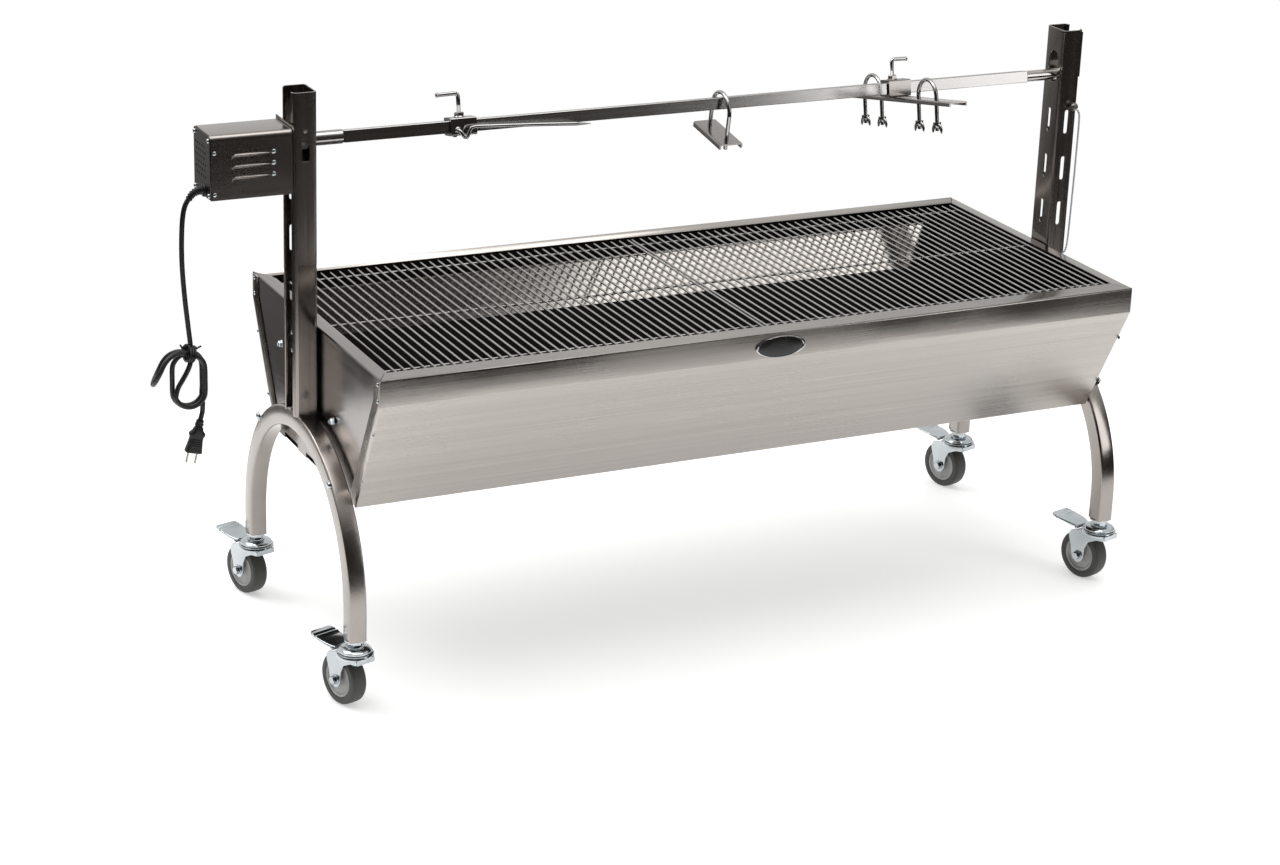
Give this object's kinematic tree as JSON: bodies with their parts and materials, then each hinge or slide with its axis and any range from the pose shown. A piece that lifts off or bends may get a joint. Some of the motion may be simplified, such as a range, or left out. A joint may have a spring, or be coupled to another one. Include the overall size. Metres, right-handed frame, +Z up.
{
  "type": "rotisserie spit roaster",
  "caption": "Charcoal trough on arched legs with casters; a motor box turns a square spit with a meat fork, back brace and leg brace above lift-off grates.",
  "frame": {"origin": "bottom centre of the roaster's box on the floor, the free cord left out", "axes": "+X along the trough and spit, away from the motor; +Y to the back, away from the badge; +Z up"},
  "size_m": [1.4785, 0.5522, 0.83],
  "materials": {
    "brushed_stainless": "brushed stainless steel, grain along the sheet's length, light scratches",
    "satin_stainless": "satin stainless steel",
    "polished_steel": "polished stainless steel",
    "grate_steel": "bright drawn steel wire",
    "pan_steel": "dark heat-stained steel",
    "gear_steel": "plain dark steel",
    "zinc_plate": "bright zinc plating, bluish",
    "wheel_rubber": "dark grey hard rubber",
    "badge_enamel": "gloss black with a pale border line",
    "switch_plastic": "moulded black",
    "cord_rubber": "matt black sheath",
    "blade_brass": "bright blades"
  },
  "bodies": {
    "roaster_frame": {"front_panel": "brushed_stainless", "back_panel": "brushed_stainless", "left_end_panel": "brushed_stainless", "right_end_panel": "brushed_stainless", "bottom_panel": "brushed_stainless", "badge": "badge_enamel", "left_leg_arch": "brushed_stainless", "right_leg_arch": "brushed_stainless", "left_post": "satin_stainless", "right_post": "satin_stainless", "motor_housing": "satin_stainless", "motor_end_plate": "satin_stainless", "motor_bracket": "satin_stainless", "gearmotor": "gear_steel", "spit_holder": "satin_stainless", "pin_chain": "polished_steel", "cord_gland": "cord_rubber", "cord_upper": "cord_rubber", "cord_hank": "cord_rubber", "cord_tail": "cord_rubber", "plug_body": "cord_rubber", "plug_blade_left": "blade_brass", "plug_blade_right": "blade_brass", "caster_stem_front_left": "zinc_plate", "caster_stem_front_right": "zinc_plate", "caster_stem_back_left": "zinc_plate", "caster_stem_back_right": "zinc_plate"},
    "back_brace_plate": {"back_brace_plate": "brushed_stainless"},
    "leg_brace": {"leg_brace": "brushed_stainless"},
    "spit_rod": {"spit_rod": "polished_steel"},
    "meat_fork": {"meat_fork": "polished_steel"},
    "fork_screw": {"fork_screw": "polished_steel"},
    "back_brace_ubolt": {"back_brace_ubolt": "polished_steel"},
    "leg_brace_screw": {"leg_brace_screw": "polished_steel"},
    "leg_ubolt_front": {"leg_ubolt_front": "polished_steel"},
    "leg_ubolt_back": {"leg_ubolt_back": "polished_steel"},
    "wing_nut_front_front": {"wing_nut_front_front": "polished_steel"},
    "wing_nut_front_back": {"wing_nut_front_back": "polished_steel"},
    "wing_nut_back_front": {"wing_nut_back_front": "polished_steel"},
    "wing_nut_back_back": {"wing_nut_back_back": "polished_steel"},
    "back_brace_nut_front": {"back_brace_nut_front": "polished_steel"},
    "back_brace_nut_back": {"back_brace_nut_back": "polished_steel"},
    "lock_pin": {"lock_pin": "polished_steel"},
    "grate_left": {"grate_left": "grate_steel"},
    "grate_right": {"grate_right": "grate_steel"},
    "charcoal_tray": {"charcoal_tray": "pan_steel"},
    "drive_coupler": {"drive_coupler": "gear_steel"},
    "caster_fork_front_left": {"caster_fork_front_left": "zinc_plate"},
    "caster_fork_front_right": {"caster_fork_front_right": "zinc_plate"},
    "caster_fork_back_left": {"caster_fork_back_left": "zinc_plate"},
    "caster_fork_back_right": {"caster_fork_back_right": "zinc_plate"},
    "caster_pedal_front_left": {"caster_pedal_front_left": "zinc_plate"},
    "caster_pedal_front_right": {"caster_pedal_front_right": "zinc_plate"},
    "caster_pedal_back_left": {"caster_pedal_back_left": "zinc_plate"},
    "caster_pedal_back_right": {"caster_pedal_back_right": "zinc_plate"},
    "caster_wheel_front_left": {"caster_wheel_front_left": "wheel_rubber"},
    "caster_wheel_front_right": {"caster_wheel_front_right": "wheel_rubber"},
    "caster_wheel_back_left": {"caster_wheel_back_left": "wheel_rubber"},
    "caster_wheel_back_right": {"caster_wheel_back_right": "wheel_rubber"},
    "rocker_switch": {"rocker_switch": "switch_plastic"}
  },
  "joints": [
    {"name": "charcoal_tray_lift", "type": "slide", "parent": "roaster_frame", "child": "charcoal_tray", "axis": [0, 0, 1], "range_m": [0, 0.12]},
    {"name": "grate_left_lift", "type": "slide", "parent": "roaster_frame", "child": "grate_left", "axis": [0, 0, 1], "range_m": [0, 0.1]},
    {"name": "grate_right_lift", "type": "slide", "parent": "roaster_frame", "child": "grate_right", "axis": [0, 0, 1], "range_m": [0, 0.1]},
    {"name": "spit_turn", "type": "hinge", "parent": "roaster_frame", "child": "spit_rod", "pos_m": [0.05665, -0.01577, 0.7585], "axis": [1, 0, 0], "continuous": true},
    {"name": "coupler_turn", "type": "hinge", "parent": "roaster_frame", "child": "drive_coupler", "pos_m": [-0.56135, -0.01577, 0.7585], "axis": [1, 0, 0], "continuous": true},
    {"name": "meat_fork_slide", "type": "slide", "parent": "spit_rod", "child": "meat_fork", "axis": [1, 0, 0], "range_m": [-0.15, 0.18]},
    {"name": "fork_screw_turn", "type": "hinge", "parent": "meat_fork", "child": "fork_screw", "pos_m": [-0.32335, -0.01577, 0.7585], "axis": [0, 0.1874, 0.9823], "continuous": true},
    {"name": "back_brace_slide", "type": "slide", "parent": "spit_rod", "child": "back_brace_ubolt", "axis": [1, 0, 0], "range_m": [-0.17, 0.24]},
    {"name": "back_brace_plate_slide", "type": "slide", "parent": "back_brace_ubolt", "child": "back_brace_plate", "axis": [0, -0.1616, 0.9869], "range_m": [0, 0.028]},
    {"name": "back_brace_nut_front_turn", "type": "hinge", "parent": "back_brace_ubolt", "child": "back_brace_nut_front", "pos_m": [0.08665, -0.03421, 0.704], "axis": [0, -0.1616, 0.9869], "continuous": true},
    {"name": "back_brace_nut_back_turn", "type": "hinge", "parent": "back_brace_ubolt", "child": "back_brace_nut_back", "pos_m": [0.08665, 0.01908, 0.71273], "axis": [0, -0.1616, 0.9869], "continuous": true},
    {"name": "leg_brace_slide", "type": "slide", "parent": "spit_rod", "child": "leg_brace", "axis": [1, 0, 0], "range_m": [-0.24, 0.19]},
    {"name": "leg_brace_screw_turn", "type": "hinge", "parent": "leg_brace", "child": "leg_brace_screw", "pos_m": [0.37265, -0.01577, 0.7585], "axis": [0, 0.1874, 0.9823], "continuous": true},
    {"name": "leg_ubolt_front_slide", "type": "slide", "parent": "leg_brace", "child": "leg_ubolt_front", "axis": [0, 0.1874, 0.9823], "range_m": [0, 0.028]},
    {"name": "wing_nut_front_front_turn", "type": "hinge", "parent": "leg_ubolt_front", "child": "wing_nut_front_front", "pos_m": [0.37815, -0.13791, 0.73192], "axis": [0, 0.1874, 0.9823], "continuous": true},
    {"name": "wing_nut_front_back_turn", "type": "hinge", "parent": "leg_ubolt_front", "child": "wing_nut_front_back", "pos_m": [0.37815, -0.0888, 0.72255], "axis": [0, 0.1874, 0.9823], "continuous": true},
    {"name": "leg_ubolt_back_slide", "type": "slide", "parent": "leg_brace", "child": "leg_ubolt_back", "axis": [0, 0.1874, 0.9823], "range_m": [0, 0.028]},
    {"name": "wing_nut_back_front_turn", "type": "hinge", "parent": "leg_ubolt_back", "child": "wing_nut_back_front", "pos_m": [0.37815, 0.01729, 0.70231], "axis": [0, 0.1874, 0.9823], "continuous": true},
    {"name": "wing_nut_back_back_turn", "type": "hinge", "parent": "leg_ubolt_back", "child": "wing_nut_back_back", "pos_m": [0.37815, 0.0664, 0.69294], "axis": [0, 0.1874, 0.9823], "continuous": true},
    {"name": "lock_pin_slide", "type": "slide", "parent": "roaster_frame", "child": "lock_pin", "axis": [0, -1, 0], "range_m": [0, 0.03]},
    {"name": "rocker_tilt", "type": "hinge", "parent": "roaster_frame", "child": "rocker_switch", "pos_m": [-0.63335, 0.02073, 0.741], "axis": [1, 0, 0], "range_deg": [-8, 8]},
    {"name": "caster_swivel_front_left", "type": "hinge", "parent": "roaster_frame", "child": "caster_fork_front_left", "pos_m": [-0.55635, -0.22327, 0.086], "axis": [0, 0, 1], "continuous": true},
    {"name": "caster_wheel_turn_front_left", "type": "hinge", "parent": "caster_fork_front_left", "child": "caster_wheel_front_left", "pos_m": [-0.56324, -0.19924, 0.03768], "axis": [-0.9613, -0.2756, 0], "continuous": true},
    {"name": "caster_pedal_tilt_front_left", "type": "hinge", "parent": "caster_fork_front_left", "child": "caster_pedal_front_left", "pos_m": [-0.56517, -0.19251, 0.0815], "axis": [-0.9613, -0.2756, 0], "range_deg": [0, 12]},
    {"name": "caster_swivel_front_right", "type": "hinge", "parent": "roaster_frame", "child": "caster_fork_front_right", "pos_m": [0.66965, -0.22327, 0.086], "axis": [0, 0, 1], "continuous": true},
    {"name": "caster_wheel_turn_front_right", "type": "hinge", "parent": "caster_fork_front_right", "child": "caster_wheel_front_right", "pos_m": [0.66276, -0.19924, 0.03768], "axis": [-0.9613, -0.2756, 0], "continuous": true},
    {"name": "caster_pedal_tilt_front_right", "type": "hinge", "parent": "caster_fork_front_right", "child": "caster_pedal_front_right", "pos_m": [0.66083, -0.19251, 0.0815], "axis": [-0.9613, -0.2756, 0], "range_deg": [0, 12]},
    {"name": "caster_swivel_back_left", "type": "hinge", "parent": "roaster_frame", "child": "caster_fork_back_left", "pos_m": [-0.55635, 0.19173, 0.086], "axis": [0, 0, 1], "continuous": true},
    {"name": "caster_wheel_turn_back_left", "type": "hinge", "parent": "caster_fork_back_left", "child": "caster_wheel_back_left", "pos_m": [-0.56324, 0.21576, 0.03768], "axis": [-0.9613, -0.2756, 0], "continuous": true},
    {"name": "caster_pedal_tilt_back_left", "type": "hinge", "parent": "caster_fork_back_left", "child": "caster_pedal_back_left", "pos_m": [-0.56517, 0.22249, 0.0815], "axis": [-0.9613, -0.2756, 0], "range_deg": [0, 12]},
    {"name": "caster_swivel_back_right", "type": "hinge", "parent": "roaster_frame", "child": "caster_fork_back_right", "pos_m": [0.66965, 0.19173, 0.086], "axis": [0, 0, 1], "continuous": true},
    {"name": "caster_wheel_turn_back_right", "type": "hinge", "parent": "caster_fork_back_right", "child": "caster_wheel_back_right", "pos_m": [0.66276, 0.21576, 0.03768], "axis": [-0.9613, -0.2756, 0], "continuous": true},
    {"name": "caster_pedal_tilt_back_right", "type": "hinge", "parent": "caster_fork_back_right", "child": "caster_pedal_back_right", "pos_m": [0.66083, 0.22249, 0.0815], "axis": [-0.9613, -0.2756, 0], "range_deg": [0, 12]}
  ],
  "couplings": [
    {"joint": "coupler_turn", "follows": "spit_turn", "ratio": 1}
  ]
}
